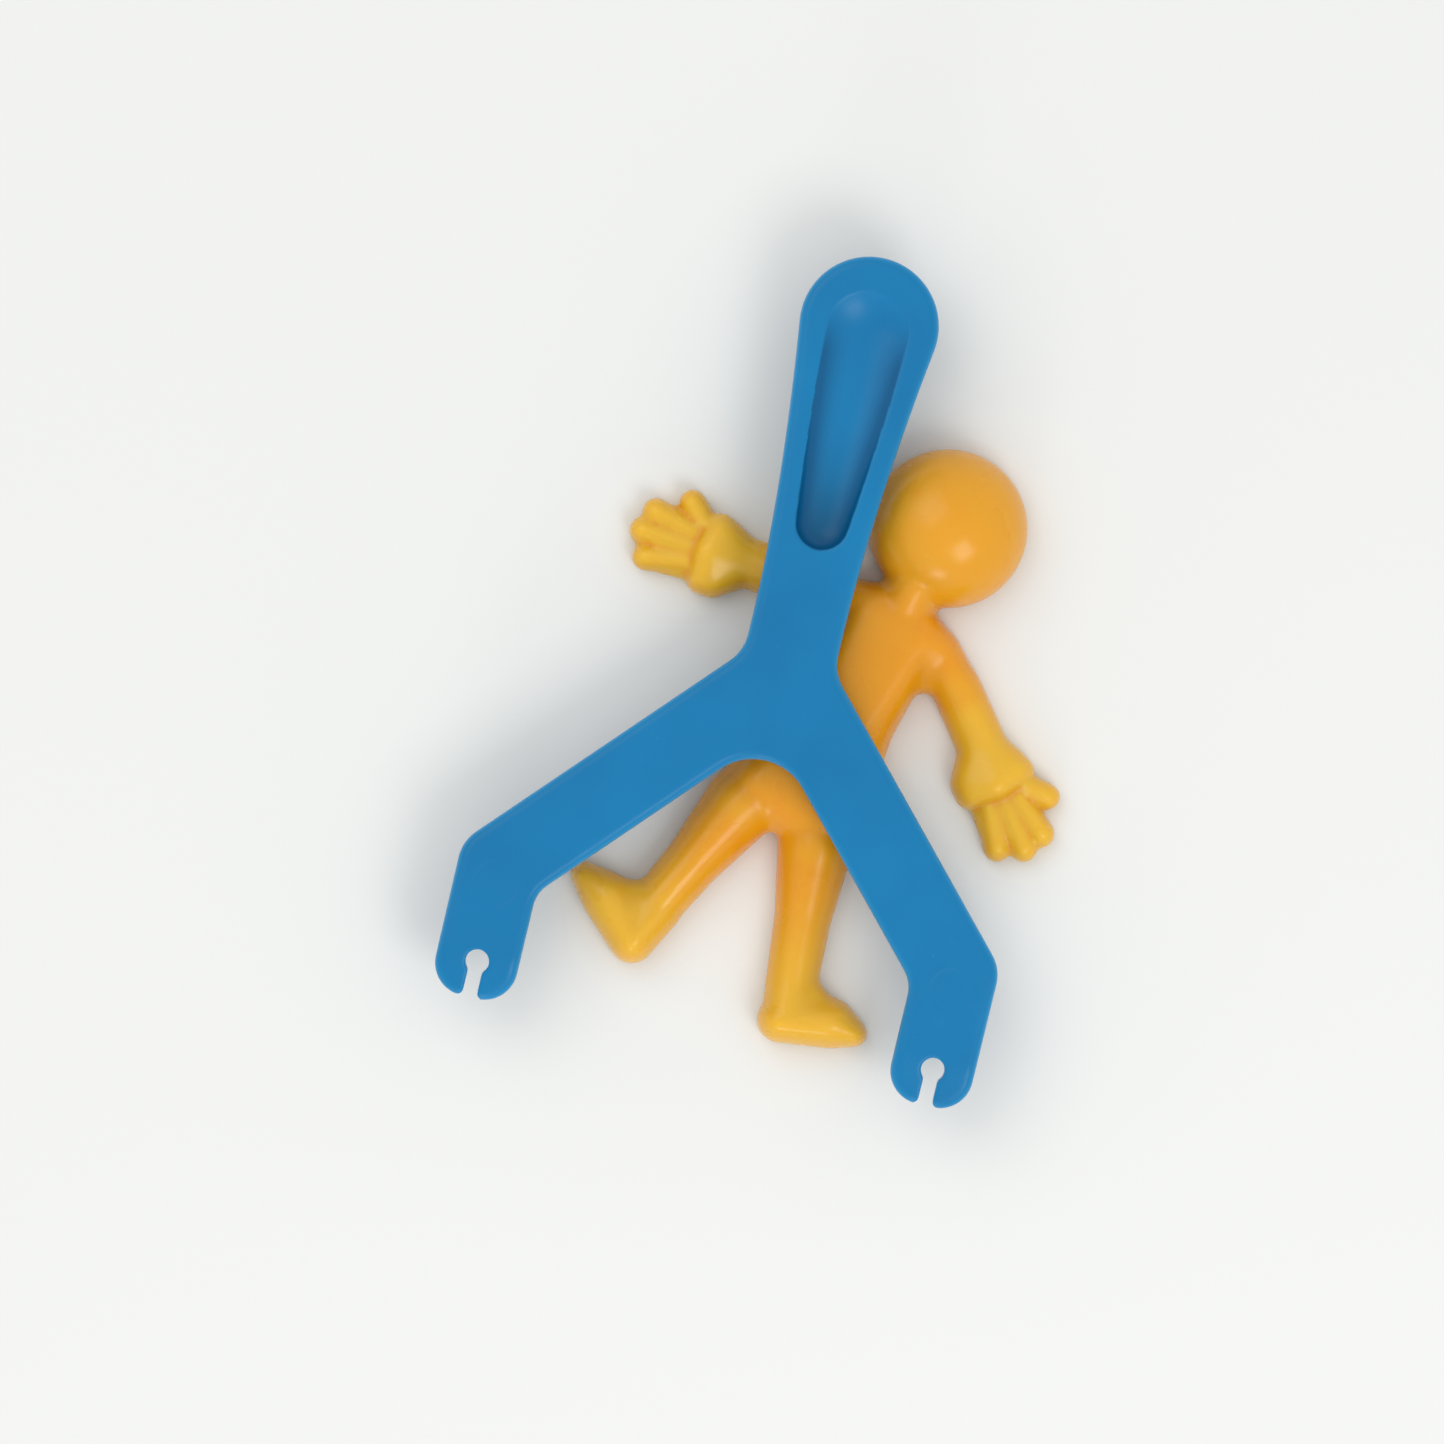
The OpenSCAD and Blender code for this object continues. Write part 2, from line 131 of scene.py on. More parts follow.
# The figure's lumps: x, y, radius and height, in the frame of the torso or of their limb
CHEST = (4.7, 15.0, 3.3, TORSO_T - 0.4)
BELLY = (3.0, 0, 5.4, TORSO_T)
PELVIS = (5.5, -15.0, 5.6, TORSO_T)
NECK_ROOT = (0, 16.4, 5.0, TORSO_T - 1)
NECK = ((0, 17.0, 4.8, TORSO_T - 1), (0, 23.4, 4.5, TORSO_T + 0.6))
SHOULDER_SLOPE = ((3.4, 17.4, 2.9, 7.8), (*SHOULDER, 3.2, 7.2), CHEST)
SHOULDER_ROUND = ((0, 0, 3.3, 6.8), (ARM_BEND, 0, ARM_HW, 6.6))
ARM = ((ARM_BEND, 0.1, 3.8, 6.6), (ARM_LEN + 1, 0.1, 3.85, 6.3))
CUFF = ((0.4, 0, 3.8, 6.3), (3.5, 2.9, 2.8, 6.6), (4.9, 4.0, 2.4, 6.8),
        (6.0, 0.2, 2.4, 8.0), (5.8, -4.0, 2.4, 6.8), (4.2, -3.9, 2.6, 6.6))
PALM = ((6.6, 0, 4.8, 5.0), (12.4, 3.0, 2.4, 4.2), (13.7, 0.6, 2.4, 4.2),
        (12.2, -2.4, 2.4, 4.2))
THUMB = ((6.2, 2.8, 2.2, 5.0), (10.0, 6.8, 2.0, 4.5))
FINGERS = (((8.6, 2.4, 2.0, 4.9), (15.0, 4.1, 2.1, 4.7)),
           ((8.6, 0.3, 2.0, 4.9), (16.2, 0.9, 2.1, 4.7)),
           ((8.6, -2.0, 2.0, 4.9), (14.8, -2.9, 2.1, 4.7)))
THIGH = (0, 0, 5.8, 8.7)
KNEE = (LEG_LEN / 2, 0, 4.3, 7.4)
ANKLE = (LEG_LEN, 0, ANKLE_HW, 7.0)
HEEL_SIZE = (3.5, 7.8)
FOOT = ((-0.8, 0, 3.5, 7.8), (6.7, 0, 3.9, 7.8))
TOE = (-1.4, 2.0, 6.4)  # without x, which TOE_REACH gives

# Webs in its inner corners, each with its depth, its height and the height of its back
WEB_R, WEB_HALF_LEN = 2.2, 1.9
WEB_BACK_R, WEB_BACK = 3.0, 3.6
ARMPIT_WEB = (2.2, 5.2, 7.6)
INSTEP_WEB = (1.9, 5.6, 7.4)

# Bounds within which points are taken to be an arm's, a hand's or a leg's
ARM_ZONE_HW, ARM_ZONE_X, ARM_ZONE_TOP = 9, 6, 21
HAND_ZONE_HW, HAND_ZONE_X = 7, 15
LEG_ZONE_X, LEG_ZONE_TOP = -1, -14

# Where the extra smoothing of its skin fades, along the torso or limb, and its rounds
TRUNK_END = (22, 27)
ARM_JOIN = (4, 9)
LEG_JOIN = (0, 12)
INSTEP_JOIN, INSTEP_SHARE = (2.5, 6.5), 0.8
CUFF_START, CUFF_END, CUFF_TOP = (-3, 0), (6.2, 7.4), (3.4, 5.2)
TRUNK_ROUNDS, CUFF_ROUNDS = 37, 62
SOFT_LEVELS = 10

# How thin its rubber counts, along the torso or limb, and what the creases take from that, which
# paints shade into them as a deeper orange
HEAD_THIN, HEAD_THIN_WAY = 0.3, (18, 24)
ARM_THIN_WAY = (2, 19)
LEG_THIN, LEG_THIN_WAY = 0.9, (2, 28)
CREASE_ROUNDS = 60
CREASE_DEPTH = 0.25
CREASE_SHADE = 0.75

# Where it is parted, and how light under the skin fades out towards each ring
ARM_RING_HW = 5.6
LEG_RING_HW = 6.6
RING_BAND = 1.2
RING_FADE = (0.4, 3.4)
BACK_SKIN = 0.0001
BACK_SHARE = 0.79  # of the body's faces, kept when its flat back is thinned
BODY_SPOT = Vector((0, 10, 0))
HAND_SPOT = ARM_LEN + 6
LEG_SPOT = 18

# Colours, in the 0 to 255 values that a screen shows
DEEP_BLUE = (2, 104, 156)
BRIGHT_BLUE = (5, 123, 177)
# Painted shade on the recess's floor, darker deeper down
RECESS_FLOOR_SHADE_BLUE = (0, 68, 102)
# Painted shade on the sloping sides of the recess
WALL_SHADE_BLUE = (0, 78, 124)
# Painted highlight on the rounded edges
RIM_HIGHLIGHT_BLUE = (34, 148, 204)
NICK_BLUE = (96, 178, 220)
THICK_AMBER = (224, 152, 20)
THIN_AMBER = (223, 178, 46)
# Painted shade: a deeper orange on the figure's upright sides
FLANK_SHADE_AMBER = (220, 142, 22)
DUST_BROWN = (92, 62, 28)
FLOOR_GREY = (228, 229, 227)

# Where painted shade and painted highlight are laid on by how level the surface is, and how much
# of each colour
WALL_SHADE_LEVELS, WALL_SHADE_SHARE = (0.99, 0.86), 0.75
RIM_HIGHLIGHT_LEVELS, RIM_HIGHLIGHT_SHARE = (0.97, 0.45), 0.55
FLANK_SHADE_LEVELS, FLANK_SHADE_SHARE = (0.9, 0.1), 0.3
# The share of painted shade on the recess's floor
FLOOR_SHADE_SHARE = 0.9
NICK_SHARE = 0.12
PATCH_SHARE = 0.3
PLASTIC_ROUGHNESS, HAIR_ROUGHNESS = (0.27, 0.4), 0.12
RUBBER_ROUGHNESS = (0.2, 0.33)
HAIR_DEPTH, PORE_DEPTH = 0.2, 0.25
GLOW_UNDER_SKIN = 0.65

# Studio, in metres and watts
FLOOR_SIZE = 4
FLOOR_Z = -0.00005
ROOM_GLOW = 0.84
LAMP_AIM = Vector((-0.01, -0.005, 0))
LAMPS = (("broad_key", (0.42, -0.38, 0.7), (0.4, 0.4), 1.9),
         ("high_fill", (-0.5, 0.35, 0.8), (0.7, 0.7), 1.85),
         ("low_front", (0.02, -0.6, 0.2), (0.16, 0.1), 0.35))
FRAME_WIDTH = 0.2166
CAMERA_AIM = Vector((-0.0173, -0.0054, 0.010))
CAMERA_RIGHT = Vector((0.9728, 0.2317, 0))
CAMERA_UP = Vector((-0.2317, 0.9728, 0))


# Small helpers for modelling

def put_down():
    """Leaves edit mode with nothing selected."""
    if bpy.context.mode != "OBJECT":
        bpy.ops.object.mode_set(mode="OBJECT")
    bpy.ops.object.select_all(action="DESELECT")


def take(*pieces):
    """Selects these pieces, the first one active."""
    put_down()
    for piece in pieces:
        piece.select_set(True)
    bpy.context.view_layer.objects.active = pieces[0]
    return pieces[0]


def open_up(piece):
    """Opens a piece in edit mode with all of it selected."""
    take(piece)
    bpy.ops.object.mode_set(mode="EDIT")
    bpy.ops.mesh.select_all(action="SELECT")


def fuse(name, *pieces):
    """Joins pieces into one object whose place is in its mesh."""
    piece = take(*pieces)
    if len(pieces) > 1:
        bpy.ops.object.join()
    bpy.ops.object.transform_apply(location=True, rotation=True, scale=True)
    piece.name = name
    return piece


def wrap(name, *pieces):
    """Stretches one tight skin round pieces."""
    piece = fuse(name, *pieces)
    open_up(piece)
    bpy.ops.mesh.convex_hull()
    put_down()
    return piece


def slice_level(piece, height, **cleared):
    """Slices a piece at a height, clears the side that is named, and fills the cut."""
    open_up(piece)
    bpy.ops.mesh.bisect(plane_co=(0, 0, height), plane_no=(0, 0, 1), use_fill=True, **cleared)
    put_down()


def sit_flat(*forms):
    """Cuts each form off level with the flat back."""
    for form in forms:
        slice_level(form, 0, clear_inner=True)
    return list(forms)


def finish_with(piece, kind, **settings):
    """Adds a modifier and applies it."""
    take(piece)
    modifier = piece.modifiers.new(kind.title(), kind)
    for key, value in settings.items():
        setattr(modifier, key, value)
    bpy.ops.object.modifier_apply(modifier=modifier.name)


def cut_away(piece, tool):
    """Takes a tool's shape out of a piece, and the tool away."""
    finish_with(piece, "BOOLEAN", operation="DIFFERENCE", solver="EXACT", object=tool)
    bpy.data.objects.remove(tool)


def face_out(piece):
    """Merges double points and turns all faces outwards."""
    open_up(piece)
    bpy.ops.mesh.remove_doubles(threshold=0.0005)
    bpy.ops.mesh.normals_make_consistent(inside=False)
    put_down()


def points_of(piece):
    flat = np.empty(len(piece.data.vertices) * 3)
    piece.data.vertices.foreach_get("co", flat)
    return flat.reshape(-1, 3)


def set_points(piece, points):
    piece.data.vertices.foreach_set("co", points.ravel())
    piece.data.update()


def mark(piece, **values):
    """Writes numbers, one for each point, as attributes for the materials."""
    for label, numbers in values.items():
        attribute = piece.data.attributes.new(label, "FLOAT", "POINT")
        attribute.data.foreach_set("value", numbers.astype(np.float32))


def ease(low, high, values):
    """0 below low, 1 above high, and a smooth turn between."""
    share = np.clip((values - low) / (high - low), 0, 1)
    return share * share * (3 - 2 * share)


def turn(angle):
    return Matrix.Rotation(angle, 4, "Z")


def shift(x, y, z=0.0):
    return Matrix.Translation((x, y, z))


# The catapult

def elbow_spot():
    """The middle of the right elbow, where the fork's bar meets the prong."""
    return FORK_REACH * math.sin(FORK_ANGLE), -FORK_REACH * math.cos(FORK_ANGLE)


def arc(centre, radius, first, last, steps):
    """Points on an arc, angles in degrees."""
    angles = [math.radians(first + (last - first) * i / steps) for i in range(steps + 1)]
    return [(centre[0] + radius * math.cos(a), centre[1] + radius * math.sin(a)) for a in angles]


def catapult_outline():
    """The outline's right half from the handle's end to the crotch, then its mirror image."""
    elbow_x, elbow_y = elbow_spot()
    tip_y = elbow_y - PRONG_LEN
    opening = math.degrees(FORK_ANGLE)
    half_turn = math.radians((180 - opening) / 2)

    dip = math.radians(BULB_DIP_DEG)
    flare_top = HANDLE_REACH - BULB_R * math.sin(dip)
    flare_hw = BULB_R * math.cos(dip)
    line = arc((0, HANDLE_REACH), BULB_R, 90, -BULB_DIP_DEG, BULB_STEPS)
    for i in range(1, FLARE_STEPS + 1):
        share = 1 - i / FLARE_STEPS
        half_width = WAIST_HW + (flare_hw - WAIST_HW) * share ** FLARE_POWER
        line.append((half_width, WAIST_Y + (flare_top - WAIST_Y) * share))

    root_y = (FORK_HW - WAIST_HW * math.cos(FORK_ANGLE)) / math.sin(FORK_ANGLE)
    root = (WAIST_HW + ROOT_FILLET_R, root_y + ROOT_FILLET_R / math.tan(half_turn))
    line += arc(root, ROOT_FILLET_R, 180, 180 + opening, CORNER_STEPS)

    line += arc((elbow_x, elbow_y), FORK_HW, opening, ELBOW_END_DEG, ELBOW_STEPS)
    line += arc((elbow_x + PRONG_HW - TIP_R, tip_y + TIP_R), TIP_R, 0, -90, CORNER_STEPS)
    line += arc((elbow_x - PRONG_HW + TIP_R, tip_y + TIP_R), TIP_R, -90, -180, CORNER_STEPS)

    crotch_y = -FORK_HW / math.sin(FORK_ANGLE)
    inner_x = elbow_x - PRONG_HW
    inner_y = crotch_y - inner_x / math.tan(FORK_ANGLE)
    bend = (inner_x - ELBOW_FILLET_R, inner_y - ELBOW_FILLET_R / math.tan(half_turn))
    line += arc(bend, ELBOW_FILLET_R, 0, opening, ELBOW_STEPS)
    crotch = (0, crotch_y - CROTCH_R / math.sin(FORK_ANGLE))
    line += arc(crotch, CROTCH_R, opening, 90, CORNER_STEPS)
    return line + [(-x, y) for x, y in reversed(line[1:-1])]


def rounded_plate(name, outline):
    """A plate of the catapult's thickness with round top and bottom edges."""
    curve = bpy.data.curves.new(name, "CURVE")
    curve.dimensions = "2D"
    curve.fill_mode = "BOTH"
    curve.extrude = CAT_T / 2 - EDGE_R
    curve.bevel_depth = EDGE_R
    curve.bevel_resolution = 6
    curve.offset = -EDGE_R
    spline = curve.splines.new("POLY")
    spline.points.add(len(outline) - 1)
    for point, (x, y) in zip(spline.points, outline):
        point.co = (x, y, 0, 1)
    spline.use_cyclic_u = True
    plate = bpy.data.objects.new(name, curve)
    bpy.context.scene.collection.objects.link(plate)
    plate.location.z = CAT_T / 2
    take(plate)
    bpy.ops.object.convert(target="MESH")
    plate = fuse(name, bpy.context.object)
    face_out(plate)
    return plate


def thumb_scoop():
    """What the thumb recess takes out: a shallow dish that runs down into a deep round end."""
    dish_r = (DISH_HW ** 2 + DISH_D ** 2) / (2 * DISH_D)
    bpy.ops.mesh.primitive_uv_sphere_add(
        segments=96, ring_count=64, radius=dish_r,
        location=(0, HANDLE_REACH - DISH_BACK, CAT_T - DISH_D + dish_r))
    dish = fuse("dish", bpy.context.object)
    slice_level(dish, CAT_T + SCOOP_SPARE, clear_outer=True)
    bpy.ops.mesh.primitive_uv_sphere_add(
        segments=48, ring_count=24, radius=RECESS_R,
        location=(0, HANDLE_REACH - RECESS_LEN, CAT_T))
    deep_end = bpy.context.object
    deep_end.scale.z = RECESS_D / RECESS_R
    return wrap("thumb_scoop", dish, deep_end)


def keyhole_tools(side):
    """What an open keyhole takes out of a prong: hole, slot, and a mouth with round corners."""
    elbow_x, elbow_y = elbow_spot()
    x, tip_y = side * elbow_x, elbow_y - PRONG_LEN
    tall = 3 * CAT_T
    bpy.ops.mesh.primitive_cylinder_add(
        vertices=64, radius=KEY_R, depth=tall, location=(x, tip_y + KEY_INSET, 0))
    hole = bpy.context.object
    bpy.ops.mesh.primitive_cube_add(
        size=1, location=(x, tip_y + (KEY_INSET - CUTTER_SPARE) / 2, 0))
    slot = bpy.context.object
    slot.scale = (2 * MOUTH_HW, KEY_INSET + CUTTER_SPARE, tall)
    bpy.ops.mesh.primitive_cube_add(size=1, location=(x, tip_y + MOUTH_R - CUTTER_SPARE, 0))
    mouth = bpy.context.object
    mouth.scale = (2 * (MOUTH_HW + MOUTH_R), 2 * CUTTER_SPARE, tall)
    mouth = fuse("keyhole_mouth", mouth)
    for end in SIDES:
        bpy.ops.mesh.primitive_cylinder_add(
            vertices=48, radius=MOUTH_R, depth=2 * tall,
            location=(x + end * (MOUTH_HW + MOUTH_R), tip_y + MOUTH_R, 0))
        cut_away(mouth, bpy.context.object)
    return [hole, slot, mouth]


def shape_prong_ends(plate):
    """Thins the lobes towards the tips, and sinks the two faint round ejector marks."""
    points = points_of(plate)
    elbow_x, elbow_y = elbow_spot()
    up_from_tip = points[:, 1] - (elbow_y - PRONG_LEN)
    points[:, 2] *= 1 - LOBE_DROP / CAT_T * (1 - ease(0, LOBE_SLOPE, up_from_tip))
    on_top = points[:, 2] > CAT_T - TOP_SKIN
    for side in SIDES:
        away = np.hypot(points[:, 0] - side * elbow_x, up_from_tip - PIN_MARK_UP)
        sunk = 1 - ease(PIN_MARK_R - PIN_MARK_RIM, PIN_MARK_R, away)
        points[:, 2] -= on_top * PIN_MARK_D * sunk
    set_points(plate, points)


def shade_recess(plate):
    """Marks the recess for the painted shade on its sloping sides, and on its floor, where the
    painted shade grows deeper down and towards its low end.
    """
    points = points_of(plate)
    low_end = HANDLE_REACH - RECESS_LEN
    up = np.clip((points[:, 1] - low_end) / RECESS_LEN, 0, 1)
    half_width = RECESS_R + (DISH_HW - RECESS_R) * up + SHADE_SPARE
    inside = np.abs(points[:, 0]) < half_width
    inside &= points[:, 2] > CAT_T - RECESS_D - SHADE_SPARE
    inside &= points[:, 1] > low_end - RECESS_R - SHADE_SPARE
    inside &= points[:, 1] < HANDLE_REACH + DISH_HW
    sunk = CAT_T - points[:, 2]
    way_down = HANDLE_REACH - points[:, 1]
    # Painted shade on the recess's sloping sides, fading in from the round end
    wall_shading = inside * ease(*WALL_SHADE_DEPTHS, sunk) * ease(*WALL_SHADE_WAY, way_down)
    # Painted shade on the floor: darker deeper down and further down the recess
    floor = inside * ease(*FLOOR_SHADE_DEPTHS, sunk) * ease(*FLOOR_SHADE_WAY, way_down) ** FLOOR_SHADE_POWER
    mark(plate, recess=wall_shading, depth=floor)


def build_catapult():
    """The whole blue moulding, in its place."""
    plate = rounded_plate("catapult_moulding", catapult_outline())
    cut_away(plate, thumb_scoop())
    for side in SIDES:
        for tool in keyhole_tools(side):
            cut_away(plate, tool)
    finish_with(plate, "REMESH", mode="VOXEL", voxel_size=0.3)
    finish_with(plate, "SMOOTH", factor=0.5, iterations=5)
    shape_prong_ends(plate)
    shade_recess(plate)
    plate.data.transform(TO_METRES @ Matrix.Translation(CAT_PLACE))
    take(plate)
    bpy.ops.object.shade_smooth()
    return plate


# The figure

def lump(x, y, radius, height):
    """A soft lump: round from above, domed on top, widest RIM_Z above the flat back."""
    bpy.ops.mesh.primitive_uv_sphere_add(
        segments=40, ring_count=24, radius=radius, location=(x, y, RIM_Z))
    piece = bpy.context.object
    piece.scale.z = (height - RIM_Z) / radius
    return piece


def wrap_lumps(name, spots, side=RIGHT):
    """One tight skin round lumps, on its own side of the figure."""
    return wrap(name, *(lump(side * x, *rest) for x, *rest in spots))


def place_side(side):
    """Puts what is drawn on the right-hand side on its own side of the figure."""
    return Matrix.Scale(-1, 4, (1, 0, 0)) if side == LEFT else Matrix.Identity(4)


def arm_place(side):
    """The arm's own frame: the shoulder at the origin, the arm along +X, the thumb side +Y."""
    return place_side(side) @ shift(*SHOULDER) @ turn(-ARM_DROP[side])


def hand_place(side):
    """The hand's own frame: the wrist at the origin, the fingers along +X."""
    return arm_place(side) @ shift(ARM_LEN, 0) @ turn(-HAND_TURN)


def leg_place(side):
    """The leg's own frame: the hip at the origin, the leg along +X."""
    return place_side(side) @ shift(*HIP) @ turn(LEG_SPREAD[side] - math.pi / 2)


def local(points, place):
    """Points of the figure in a limb's own frame."""
    inverse = np.array(place.inverted())
    return points @ inverse[:3, :3].T + inverse[:3, 3]


def near_arm(points, side):
    """The points in the arm's frame, and which of them are on the arm or beside the shoulder."""
    arm = local(points, arm_place(side))
    near = (np.abs(arm[:, 1]) < ARM_ZONE_HW) & (points[:, 1] < ARM_ZONE_TOP)
    return arm, near & (side * points[:, 0] > ARM_ZONE_X)


def near_leg(points, side):
    """The points in the leg's frame, and which of them are on the leg or beside the hip."""
    near = (points[:, 1] < LEG_ZONE_TOP) & (side * points[:, 0] > LEG_ZONE_X)
    return local(points, leg_place(side)), near


def near_hand(points, side):
    """The points in the hand's frame, and which of them are on the hand."""
    hand = local(points, hand_place(side))
    return hand, (np.abs(hand[:, 1]) < HAND_ZONE_HW) & (side * points[:, 0] > HAND_ZONE_X)


def corner_web(corner, one_way, other_way, depth, height, back_height):
    """Fills the sharp inner corner between two edges, depth out of the corner."""
    outward = (Vector(one_way).normalized() + Vector(other_way).normalized()).normalized()
    along = Vector((-outward.y, outward.x)) * WEB_HALF_LEN
    middle = Vector(corner) + outward * (depth - WEB_R)
    back = Vector(corner) - outward * WEB_BACK
    return wrap("web", lump(*(middle + along), WEB_R, height),
                lump(*(middle - along), WEB_R, height), lump(*back, WEB_BACK_R, back_height))


def armpit_corner(side):
    """Where the arm's lower edge meets the torso, and the two edges' ways out of that corner."""
    drop = ARM_DROP[side]
    y = SHOULDER.y - ARM_HW / math.cos(drop) - (ARMPIT_X - SHOULDER.x) * math.tan(drop)
    return (side * ARMPIT_X, y), (0, -1), (side * math.cos(drop), -math.sin(drop))


def instep_corner(side):
    """Where the front of the leg meets the instep, and the two edges' ways out of that corner."""
    sole = Vector((math.cos(FOOT_ANGLE[side]), math.sin(FOOT_ANGLE[side])))
    reach = LEG_LEN + HEEL_DROP[side] - FOOT_HW / sole.y + ANKLE_HW * sole.x / sole.y
    return (reach, ANKLE_HW), (-1, 0), sole


def torso_forms():
    """Chest, belly and hips, the slopes beside the neck, the neck itself and the round head."""
    def both(x, *rest):
        return [lump(side * x, *rest) for side in SIDES]

    forms = [wrap("upper_torso", *both(*CHEST), *both(*BELLY), lump(*NECK_ROOT)),
             wrap("lower_torso", *both(*BELLY), *both(*PELVIS))]
    for side in SIDES:
        forms.append(wrap_lumps("shoulder_slope", SHOULDER_SLOPE, side))
        forms.append(corner_web(*armpit_corner(side), *ARMPIT_WEB))
    forms.append(wrap_lumps("neck", NECK))
    bpy.ops.mesh.primitive_uv_sphere_add(
        segments=64, ring_count=40, radius=HEAD_R, location=(0, HEAD_Y, HEAD_H - HEAD_R))
    forms.append(fuse("head", bpy.context.object))
    return sit_flat(*forms)


def arm_forms(side):
    """An arm and its mitten hand: flared cuff, palm, thumb and three fingers."""
    arm = [wrap_lumps("shoulder", SHOULDER_ROUND), wrap_lumps("arm", ARM)]
    hand = [wrap_lumps("cuff", CUFF), wrap_lumps("palm", PALM), wrap_lumps("thumb", THUMB)]
    hand += [wrap_lumps("finger", finger) for finger in FINGERS]
    hand = fuse("hand", *sit_flat(*hand))
    hand.data.transform(hand_place(side))
    arm = fuse("arm", *sit_flat(*arm))
    arm.data.transform(arm_place(side))
    limb = fuse("arm_and_hand", arm, hand)
    face_out(limb)
    return limb


def leg_forms(side):
    """A leg that tapers from hip to ankle, and its foot with a round heel and a low toe."""
    end, back = LEG_LEN + HEEL_DROP[side], HEEL_BACK[side]
    thigh = wrap_lumps("thigh", (THIGH, KNEE))
    shin = wrap_lumps("shin", (KNEE, ANKLE))
    heel = wrap_lumps("heel", ((LEG_LEN - 2, -back / 2, *ANKLE[2:]), (end, -back, *HEEL_SIZE)))
    foot = wrap_lumps("foot", (*FOOT, (TOE_REACH[side], *TOE)))
    foot.data.transform(shift(end, 0) @ turn(FOOT_ANGLE[side]))
    instep = corner_web(*instep_corner(side), *INSTEP_WEB)
    limb = fuse("leg_and_foot", *sit_flat(thigh, shin, heel, foot, instep))
    limb.data.transform(leg_place(side))
    face_out(limb)
    return limb


def soften(figure, label, share, rounds):
    """Smooths the skin where share, one value for each point, is above 0."""
    group = figure.vertex_groups.new(name=label)
    for level in range(1, SOFT_LEVELS + 1):
        chosen = np.flatnonzero(np.round(share * SOFT_LEVELS) == level)
        group.add(chosen.tolist(), level / SOFT_LEVELS, "REPLACE")
    finish_with(figure, "SMOOTH", factor=0.5, iterations=rounds, vertex_group=label)


def soften_joins(figure):
    """Runs the torso, neck, limbs and insteps into each other as softly as the moulding does,
    and rounds the tops of the cuffs."""
    points = points_of(figure)
    soft = 1 - ease(*TRUNK_END, points[:, 1])
    for side in SIDES:
        arm, near = near_arm(points, side)
        soft = np.where(near, np.minimum(soft, 1 - ease(*ARM_JOIN, arm[:, 0])), soft)
        leg, near = near_leg(points, side)
        soft = np.where(near, np.minimum(soft, 1 - ease(*LEG_JOIN, leg[:, 0])), soft)
        corner = instep_corner(side)[0]
        away = np.hypot(leg[:, 0] - corner[0], leg[:, 1] - corner[1])
        soft = np.maximum(soft, near * INSTEP_SHARE * (1 - ease(*INSTEP_JOIN, away)))
    soften(figure, "trunk", soft, TRUNK_ROUNDS)
    points = points_of(figure)
    soft = np.zeros(len(points))
    for side in SIDES:
        hand, near = near_hand(points, side)
        on_cuff = ease(*CUFF_START, hand[:, 0]) * (1 - ease(*CUFF_END, hand[:, 0]))
        soft = np.maximum(soft, near * on_cuff * ease(*CUFF_TOP, hand[:, 2]))
    soften(figure, "cuffs", soft, CUFF_ROUNDS)


def creases_of(figure, rounds):
    """How deep each point lies in a crease, in millimetres below the same skin smoothed flat."""
    points = points_of(figure)
    ends = np.empty(len(figure.data.edges) * 2, dtype=np.int64)
    figure.data.edges.foreach_get("vertices", ends)
    first, second = ends[0::2], ends[1::2]
    count = np.bincount(ends, minlength=len(points))
    smooth = points.copy()
    for _ in range(rounds):
        smooth = np.stack([
            (np.bincount(first, smooth[second, axis], len(points))
             + np.bincount(second, smooth[first, axis], len(points))) / count
            for axis in range(3)], axis=1)
    normals = np.empty(len(points) * 3)
    figure.data.vertices.foreach_get("normal", normals)
    return ((smooth - points) * normals.reshape(-1, 3)).sum(axis=1)


def mark_thickness_and_crease_shade(figure):
    """Marks how thin the rubber is, 0 in the torso and up to 1 at the hands and feet, less in the
    creases, which paints shade there as a deeper orange, and how freely light runs under the
    skin, which ends at the lines where the limbs part."""
    points = points_of(figure)
    thin = HEAD_THIN * ease(*HEAD_THIN_WAY, points[:, 1])
    free = np.ones(len(points))
    for side in SIDES:
        arm, on_arm = near_arm(points, side)
        leg, on_leg = near_leg(points, side)
        thin = np.maximum(thin, on_arm * ease(*ARM_THIN_WAY, arm[:, 0]))
        thin = np.maximum(thin, on_leg * LEG_THIN * ease(*LEG_THIN_WAY, leg[:, 0]))
        for limb, near, reach in (
                (arm, on_arm, ARM_BEND), (arm, on_arm, ARM_SPLIT), (leg, on_leg, LEG_CUT)):
            away = np.abs(limb[:, 0] - reach)
            free = np.where(near, np.minimum(free, ease(*RING_FADE, away)), free)
    # Painted shade: creases count as thicker, so they take a deeper orange
    thin *= 1 - CREASE_SHADE * ease(0, CREASE_DEPTH, creases_of(figure, CREASE_ROUNDS))
    mark(figure, thinness=thin, under_skin=free)


